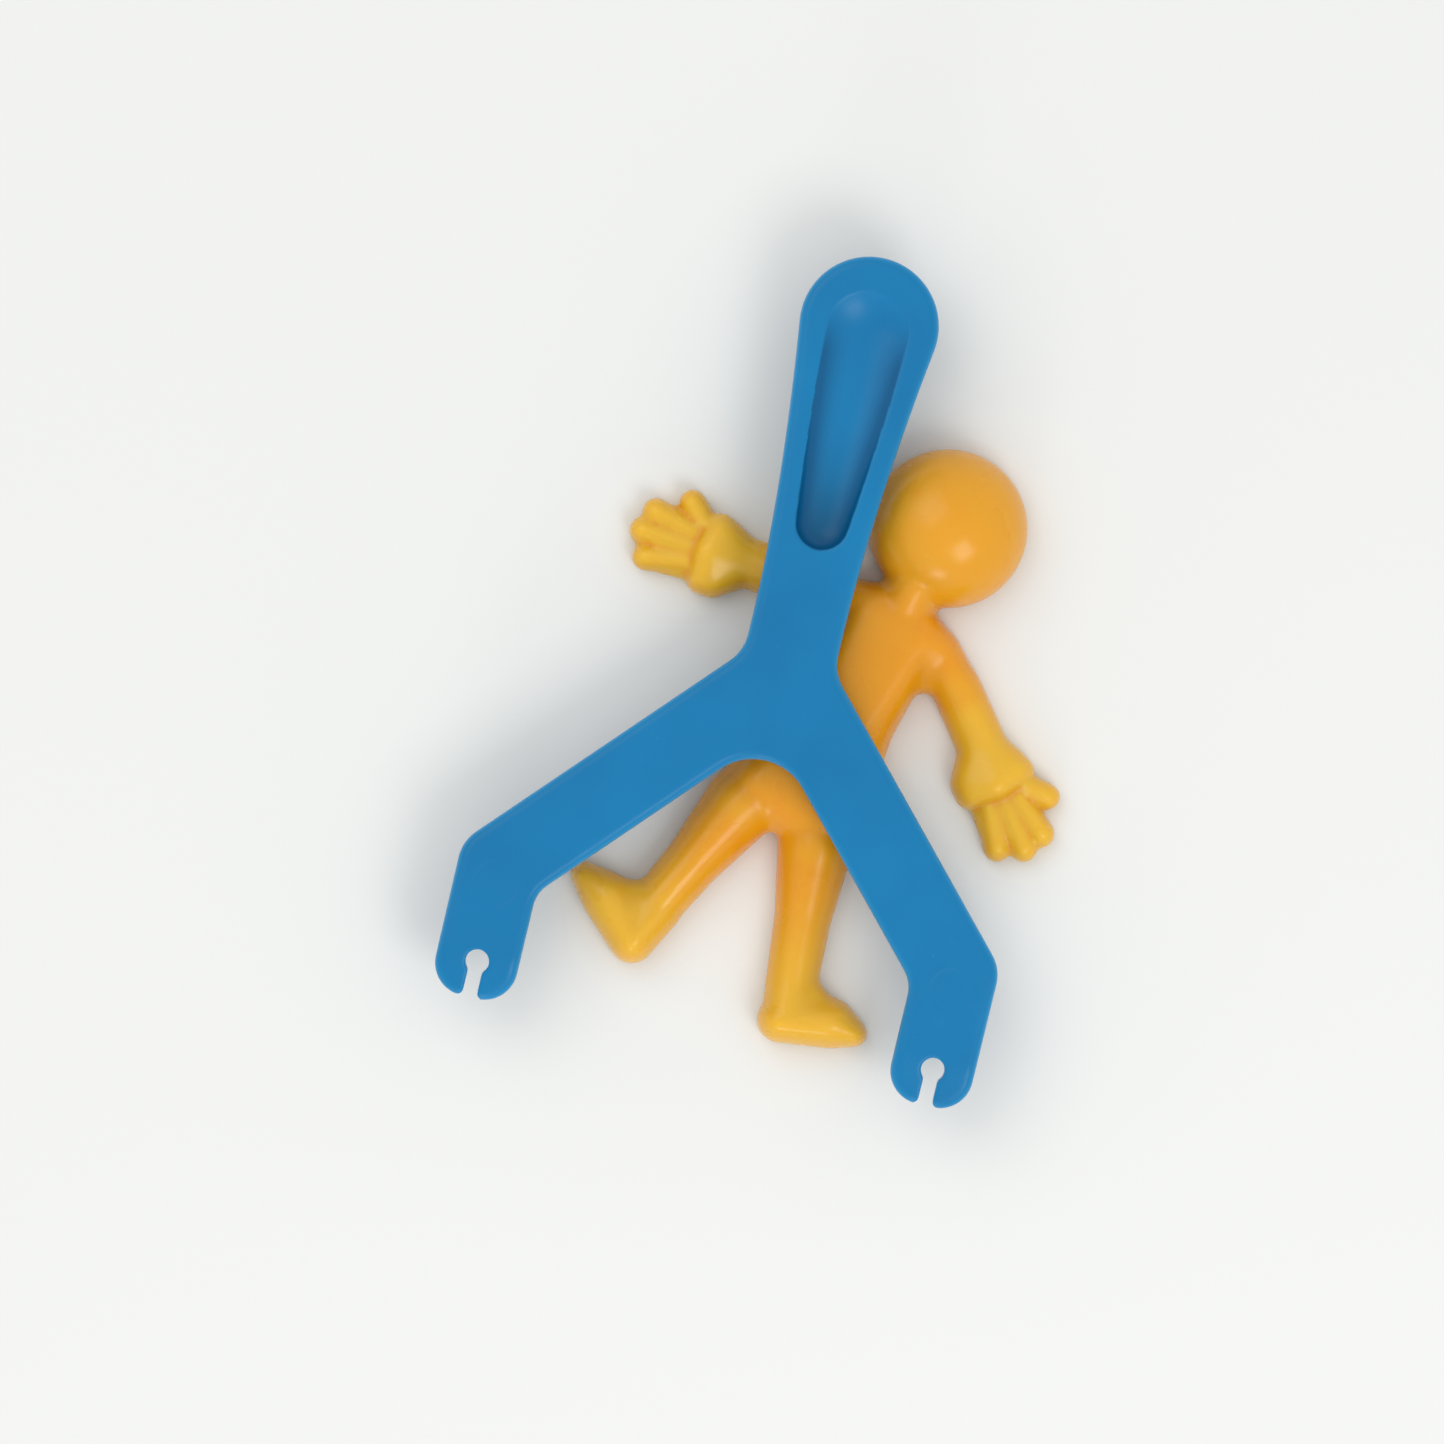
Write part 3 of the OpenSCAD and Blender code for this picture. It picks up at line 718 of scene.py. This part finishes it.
def cut_ring(figure, place, reach, half_width):
    """Parts the figure along one ring across a limb, reach along it."""
    take(figure)
    centres = np.empty(len(figure.data.polygons) * 3)
    figure.data.polygons.foreach_get("center", centres)
    spots = local(centres.reshape(-1, 3), place)
    chosen = (np.abs(spots[:, 0] - reach) < RING_BAND) & (np.abs(spots[:, 1]) < half_width)
    bpy.ops.object.mode_set(mode="EDIT")
    bpy.ops.mesh.select_mode(type="FACE")
    bpy.ops.mesh.select_all(action="DESELECT")
    bpy.ops.object.mode_set(mode="OBJECT")
    figure.data.polygons.foreach_set("select", chosen)
    bpy.ops.object.mode_set(mode="EDIT")
    bpy.ops.mesh.select_mode(type="EDGE")
    origin = place @ Vector((reach, 0, 0))
    across = (place.to_3x3() @ Vector((1, 0, 0))).normalized()
    bpy.ops.mesh.bisect(plane_co=origin, plane_no=across, threshold=0.0001)
    bpy.ops.mesh.edge_split(type="EDGE")
    put_down()


def thin_back(piece):
    """Leaves fewer faces on the flat back, away from the rings, where the skin needs none."""
    free = np.empty(len(piece.data.vertices))
    piece.data.attributes["under_skin"].data.foreach_get("value", free)
    flat = np.flatnonzero((points_of(piece)[:, 2] < BACK_SKIN) & (free > 0.99))
    piece.vertex_groups.new(name="flat_back").add(flat.tolist(), 1.0, "REPLACE")
    finish_with(piece, "DECIMATE", ratio=BACK_SHARE, vertex_group="flat_back")


def close_rings(piece):
    """Closes the open rings with flat caps that meet the skin at a sharp edge."""
    open_up(piece)
    bpy.ops.mesh.select_mode(type="VERT")
    bpy.ops.mesh.fill_holes(sides=0)
    bpy.ops.mesh.select_all(action="SELECT")
    bpy.ops.mesh.normals_make_consistent(inside=False)
    put_down()
    take(piece)
    bpy.ops.object.shade_smooth_by_angle(angle=math.radians(58))


def mould_figure():
    """The whole figure as one smooth moulding, marked for its material."""
    forms = torso_forms()
    for side in SIDES:
        forms += [arm_forms(side), leg_forms(side)]
    figure = fuse("figure", *forms)
    finish_with(figure, "REMESH", mode="VOXEL", voxel_size=0.4)
    finish_with(figure, "SMOOTH", factor=0.5, iterations=7)
    soften_joins(figure)
    finish_with(figure, "SUBSURF", levels=1)
    points = points_of(figure)
    points[:, 2] = np.maximum(points[:, 2], 0)
    set_points(figure, points)
    mark_thickness_and_crease_shade(figure)
    return figure


def part_figure(figure):
    """Parts the figure where the soft limbs bend or stretch, and names its pieces."""
    wanted = {"figure_body": BODY_SPOT}  # a spot near the middle of each piece
    for side, word in SIDES.items():
        arm, leg = arm_place(side), leg_place(side)
        cut_ring(figure, arm, ARM_BEND, ARM_RING_HW)
        cut_ring(figure, arm, ARM_SPLIT, ARM_RING_HW)
        cut_ring(figure, leg, LEG_CUT, LEG_RING_HW)
        wanted[f"figure_{word}_upper_arm"] = arm @ Vector(((ARM_BEND + ARM_SPLIT) / 2, 0, 0))
        wanted[f"figure_{word}_hand"] = arm @ Vector((HAND_SPOT, 0, 0))
        wanted[f"figure_{word}_leg"] = leg @ Vector((LEG_SPOT, 0, 0))
    take(figure)
    bpy.ops.mesh.separate(type="LOOSE")
    pieces = {}
    for part in sorted(bpy.context.selected_objects, key=lambda p: -len(p.data.vertices)):
        middle = Vector(points_of(part).mean(axis=0))
        name = min(wanted, key=lambda n: (wanted[n].xy - middle.xy).length)
        if name in pieces:  # a loose crumb that the fine skin left behind
            bpy.data.objects.remove(part)
            continue
        part.name = name
        pieces[name] = part
    return pieces


def build_figure():
    """The pieces of the soft figure, closed and in their place."""
    pieces = part_figure(mould_figure())
    thin_back(pieces["figure_body"])
    for piece in pieces.values():
        close_rings(piece)
        piece.data.transform(TO_METRES @ turn(-LEAN))
    return pieces


def ride_figure(pieces):
    """Sets each figure piece's place in its mesh, and hides the model's parts that it stands in
    for.
    """

    body = pieces["figure_body"]
    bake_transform(body)
    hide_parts("torso", "neck", "head")
    for side, word in SIDES.items():
        piece = pieces[f"figure_{word}_upper_arm"]
        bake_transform(piece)
        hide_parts(f"{word}_upper_arm")
        piece = pieces[f"figure_{word}_hand"]
        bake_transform(piece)
        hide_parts(f"{word}_forearm", f"{word}_hand")
        piece = pieces[f"figure_{word}_leg"]
        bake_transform(piece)
        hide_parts(f"{word}_leg", f"{word}_foot")


# Finishes

def colour(red, green, blue):
    """A colour given in the 0 to 255 values that a screen shows."""
    def linear(value):
        value /= 255
        return value / 12.92 if value <= 0.04045 else ((value + 0.055) / 1.055) ** 2.4
    return (linear(red), linear(green), linear(blue), 1)


class Board:
    """A node tree with short calls for adding and joining nodes."""

    def __init__(self, tree):
        self.tree = tree
        self.count = 0

    def add(self, kind, settings=None, **inputs):
        """Adds a node. Its inputs go by name, with _ for a space, or as i0, i1 by number."""
        node = self.tree.nodes.new(kind)
        node.location = (220 * self.count, 0)
        self.count += 1
        for key, value in (settings or {}).items():
            setattr(node, key, value)
        for key, value in inputs.items():
            numbered = key[0] == "i" and key[1:].isdigit()
            socket = node.inputs[int(key[1:]) if numbered else key.replace("_", " ")]
            if isinstance(value, bpy.types.NodeSocket):
                self.tree.links.new(value, socket)
            else:
                socket.default_value = value
        return node

    def calc(self, operation, *values, clamped=False):
        """The result of one operation on numbers or sockets."""
        settings = {"operation": operation, "use_clamp": clamped}
        numbered = {f"i{place}": value for place, value in enumerate(values)}
        return self.add("ShaderNodeMath", settings, **numbered).outputs["Value"]

    def rescale(self, value, low, high, to_low=0.0, to_high=1.0):
        """Maps the span from low to high onto the one from to_low to to_high, clamped."""
        node = self.add("ShaderNodeMapRange", Value=value, From_Min=low, From_Max=high,
                        To_Min=to_low, To_Max=to_high)
        return node.outputs["Result"]

    def paint(self, tone, share, over):
        """A tone with a screen colour laid over a share of it."""
        return self.add("ShaderNodeMix", {"data_type": "RGBA"},
                        i0=share, i6=tone, i7=colour(*over)).outputs[2]

    def attribute(self, name):
        """The numbers that mark() wrote on the piece."""
        settings = {"attribute_name": name, "attribute_type": "GEOMETRY"}
        return self.add("ShaderNodeAttribute", settings).outputs["Fac"]

    def levelness(self):
        """1 where the surface is level, 0 where it is upright."""
        place = self.add("ShaderNodeTexCoord")
        upright = self.add("ShaderNodeSeparateXYZ", Vector=place.outputs["Normal"])
        return self.calc("ABSOLUTE", upright.outputs["Z"])


def new_group(name, inputs, outputs):
    """A node group with number sockets, and its board."""
    group = bpy.data.node_groups.new(name, "ShaderNodeTree")
    for label, default in inputs.items():
        socket = group.interface.new_socket(label, in_out="INPUT", socket_type="NodeSocketFloat")
        socket.default_value = default
    for label in outputs:
        group.interface.new_socket(label, in_out="OUTPUT", socket_type="NodeSocketFloat")
    return group, Board(group)


def cloudiness_group():
    """Soft uneven patches, as in moulded plastic and rubber that cooled unevenly."""
    group, board = new_group(
        "cloudiness", {"Size": 60.0, "Fine size": 400.0}, ["Patches", "Ripple"])
    given = board.add("NodeGroupInput")
    place = board.add("ShaderNodeTexCoord")
    broad = board.add("ShaderNodeTexNoise", Vector=place.outputs["Object"],
                      Scale=given.outputs["Size"], Detail=2.0, Roughness=0.5)
    fine = board.add("ShaderNodeTexNoise", Vector=place.outputs["Object"],
                     Scale=given.outputs["Fine size"], Detail=3.0, Roughness=0.6)
    board.add("NodeGroupOutput", Patches=broad.outputs["Fac"], Ripple=fine.outputs["Fac"])
    return group


def specks_group():
    """Sparse small round specks: dust and pores in the rubber, nicks in the plastic."""
    group, board = new_group(
        "specks", {"Spacing": 250.0, "Speck size": 0.12, "Share": 0.1}, ["Mask"])
    given = board.add("NodeGroupInput")
    place = board.add("ShaderNodeTexCoord")
    cells = board.add("ShaderNodeTexVoronoi", Vector=place.outputs["Object"],
                      Scale=given.outputs["Spacing"], Randomness=1.0)
    core = board.calc("MULTIPLY", given.outputs["Speck size"], 0.5)
    inside = board.rescale(cells.outputs["Distance"], given.outputs["Speck size"], core)
    split = board.add("ShaderNodeSeparateColor", Color=cells.outputs["Color"])
    chosen = board.calc("LESS_THAN", split.outputs["Red"], given.outputs["Share"])
    board.add("NodeGroupOutput", Mask=board.calc("MULTIPLY", inside, chosen))
    return group


def hairlines_group():
    """Fine hairlines from handling, in two directions."""
    group, board = new_group("hairlines", {"Density": 900.0, "Stretch": 0.04}, ["Mask"])
    given = board.add("NodeGroupInput")
    place = board.add("ShaderNodeTexCoord")
    masks = []
    for angle in (0.5, -0.9):
        turned = board.add("ShaderNodeMapping", Vector=place.outputs["Object"],
                           Rotation=(0, 0, angle))
        flat = board.add("ShaderNodeCombineXYZ", X=1.0, Y=given.outputs["Stretch"], Z=1.0)
        scaled = board.add("ShaderNodeVectorMath", {"operation": "MULTIPLY"},
                           i0=turned.outputs["Vector"], i1=flat.outputs["Vector"])
        lines = board.add("ShaderNodeTexNoise", Vector=scaled.outputs["Vector"],
                          Scale=given.outputs["Density"], Detail=1.0)
        masks.append(board.rescale(lines.outputs["Fac"], 0.68, 0.74))
    board.add("NodeGroupOutput", Mask=board.calc("MAXIMUM", *masks))
    return group


def new_material(name):
    """An empty material and its board."""
    material = bpy.data.materials.new(name)
    material.use_nodes = True
    material.node_tree.nodes.clear()
    return material, Board(material.node_tree)


def use(board, group, **inputs):
    """Places a node group and gives its outputs."""
    return board.add("ShaderNodeGroup", {"node_tree": group}, **inputs).outputs


def blue_plastic(groups):
    """Semi-gloss blue injection moulding, with a painted highlight on its rounded rims and
    painted shade in the recess.
    """
    material, board = new_material("blue_semi_gloss_plastic")
    cloud = use(board, groups["cloud"], Size=55.0, Fine_size=700.0)
    hairs = use(board, groups["hair"], Density=1500.0, Stretch=0.12)["Mask"]
    nicks = use(board, groups["speck"], Spacing=420.0, Speck_size=0.1, Share=0.08)["Mask"]
    level = board.levelness()
    # Where the painted shade lies on the sloping sides of the recess
    recess = board.attribute("recess")
    # Painted shade on the recess's floor, from the depth attribute
    floor = board.calc("MULTIPLY", board.attribute("depth"), FLOOR_SHADE_SHARE)
    wall_shade = board.rescale(level, *WALL_SHADE_LEVELS, to_high=WALL_SHADE_SHARE)
    wall_shade = board.calc("MULTIPLY", wall_shade, recess)
    # Painted highlight: paler on the sloping rounded edges, outside the recess
    rim_highlight = board.rescale(level, *RIM_HIGHLIGHT_LEVELS, to_high=RIM_HIGHLIGHT_SHARE)
    rim_highlight = board.calc("MULTIPLY", rim_highlight, board.calc("SUBTRACT", 1.0, recess))
    nicked = board.calc("MULTIPLY", nicks, NICK_SHARE)

    tone = board.paint(colour(*DEEP_BLUE), cloud["Patches"], BRIGHT_BLUE)
    # Painted shade on the recess's floor and sides, a painted highlight on the rounded edges, and
    # pale nicks
    for share, over in ((floor, RECESS_FLOOR_SHADE_BLUE), (wall_shade, WALL_SHADE_BLUE), (rim_highlight, RIM_HIGHLIGHT_BLUE),
                        (nicked, NICK_BLUE)):
        tone = board.paint(tone, share, over)
    rough = board.rescale(cloud["Ripple"], 0.0, 1.0, *PLASTIC_ROUGHNESS)
    rough = board.calc("MULTIPLY_ADD", hairs, HAIR_ROUGHNESS, rough)
    relief = board.calc("MULTIPLY_ADD", hairs, -HAIR_DEPTH, cloud["Ripple"])
    bump = board.add("ShaderNodeBump", Height=relief, Strength=0.1, Distance=0.00005)
    shader = board.add("ShaderNodeBsdfPrincipled", Base_Color=tone, Roughness=rough,
                       Normal=bump.outputs["Normal"], IOR=1.49, Specular_IOR_Level=0.24)
    board.add("ShaderNodeOutputMaterial", Surface=shader.outputs["BSDF"])
    return material


def sticky_rubber(groups):
    """Translucent amber rubber: orange where thick, yellower where thin, with painted shade in a
    deeper orange on its upright sides and in its creases, glossy and tacky.
    """
    material, board = new_material("amber_sticky_rubber")
    cloud = use(board, groups["cloud"], Size=90.0, Fine_size=280.0)
    dust = use(board, groups["speck"], Spacing=170.0, Speck_size=0.035, Share=0.05)["Mask"]
    pores = use(board, groups["speck"], Spacing=900.0, Speck_size=0.2, Share=0.12)["Mask"]
    uneven = board.calc("MULTIPLY_ADD", cloud["Patches"], PATCH_SHARE, -PATCH_SHARE / 2)
    # Thickness with painted shade in the creases, plus random patches
    thin = board.calc("ADD", board.attribute("thinness"), uneven, clamped=True)
    # Painted shade: the upright sides tinted a deeper orange
    flank_shade = board.rescale(board.levelness(), *FLANK_SHADE_LEVELS, to_high=FLANK_SHADE_SHARE)
    under = board.calc("MULTIPLY", board.attribute("under_skin"), GLOW_UNDER_SKIN)

    tone = board.paint(colour(*THICK_AMBER), thin, THIN_AMBER)
    for share, over in ((flank_shade, FLANK_SHADE_AMBER), (dust, DUST_BROWN)):
        tone = board.paint(tone, share, over)
    rough = board.rescale(cloud["Patches"], 0.3, 0.7, *RUBBER_ROUGHNESS)
    relief = board.calc("MULTIPLY_ADD", pores, -PORE_DEPTH, cloud["Ripple"])
    bump = board.add("ShaderNodeBump", Height=relief, Strength=0.08, Distance=0.00006)
    shader = board.add("ShaderNodeBsdfPrincipled", Base_Color=tone, Roughness=rough,
                       Normal=bump.outputs["Normal"], IOR=1.47, Specular_IOR_Level=0.4,
                       Subsurface_Weight=under, Subsurface_Radius=(1.0, 0.5, 0.15),
                       Subsurface_Scale=0.0028)
    board.add("ShaderNodeOutputMaterial", Surface=shader.outputs["BSDF"])
    return material


def coat(piece, material):
    """Gives a piece its one material."""
    piece.data.materials.clear()
    piece.data.materials.append(material)


# Studio

def pale_floor():
    """A plain matt floor just under the toy."""
    bpy.ops.mesh.primitive_plane_add(size=FLOOR_SIZE, location=(0, 0, FLOOR_Z))
    floor = bpy.context.object
    floor.name = "pale_floor"
    material, board = new_material("matt_pale_board")
    shader = board.add("ShaderNodeBsdfPrincipled", Base_Color=colour(*FLOOR_GREY),
                       Roughness=0.9, Specular_IOR_Level=0.05)
    board.add("ShaderNodeOutputMaterial", Surface=shader.outputs["BSDF"])
    floor.data.materials.append(material)


def soft_light(name, place, size, watts):
    """A broad lamp that faces the toy."""
    data = bpy.data.lights.new(name, "AREA")
    data.shape = "RECTANGLE"
    data.size, data.size_y = size
    data.energy = watts
    lamp = bpy.data.objects.new(name, data)
    bpy.context.scene.collection.objects.link(lamp)
    lamp.location = place
    lamp.rotation_mode = "QUATERNION"
    lamp.rotation_quaternion = (LAMP_AIM - Vector(place)).to_track_quat("-Z", "Y")


def studio():
    """Plain white room light and the lamps."""
    scene = bpy.context.scene
    scene.view_settings.view_transform = "Standard"
    world = bpy.data.worlds.new("soft_room")
    world.use_nodes = True
    backdrop = world.node_tree.nodes["Background"]
    backdrop.inputs["Color"].default_value = (1, 1, 1, 1)
    backdrop.inputs["Strength"].default_value = ROOM_GLOW
    scene.world = world
    for lamp in LAMPS:
        soft_light(*lamp)


def photo_camera():
    """Straight above, turned as in the photograph, from far off."""
    data = bpy.data.cameras.new("photo_camera")
    data.lens = 300
    data.sensor_width = 36
    data.clip_start, data.clip_end = 0.05, 20
    camera = bpy.data.objects.new("photo_camera", data)
    bpy.context.scene.collection.objects.link(camera)
    facing = Matrix((CAMERA_RIGHT, CAMERA_UP, Vector((0, 0, 1)))).transposed()
    distance = FRAME_WIDTH / 2 / (data.sensor_width / 2 / data.lens)
    place = CAMERA_AIM + Vector((0, 0, distance))
    camera.matrix_world = Matrix.Translation(place) @ facing.to_4x4()
    bpy.context.scene.camera = camera


# Putting it together

catapult = build_catapult()
figure = build_figure()
groups = {"cloud": cloudiness_group(), "speck": specks_group(), "hair": hairlines_group()}
coat(catapult, blue_plastic(groups))
amber = sticky_rubber(groups)
for piece in figure.values():
    coat(piece, amber)
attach(catapult, "catapult")
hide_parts("handle", "fork_hub", "left_fork_arm", "right_fork_arm",
            "left_prong", "right_prong")
ride_figure(figure)
pale_floor()
studio()
photo_camera()
put_down()
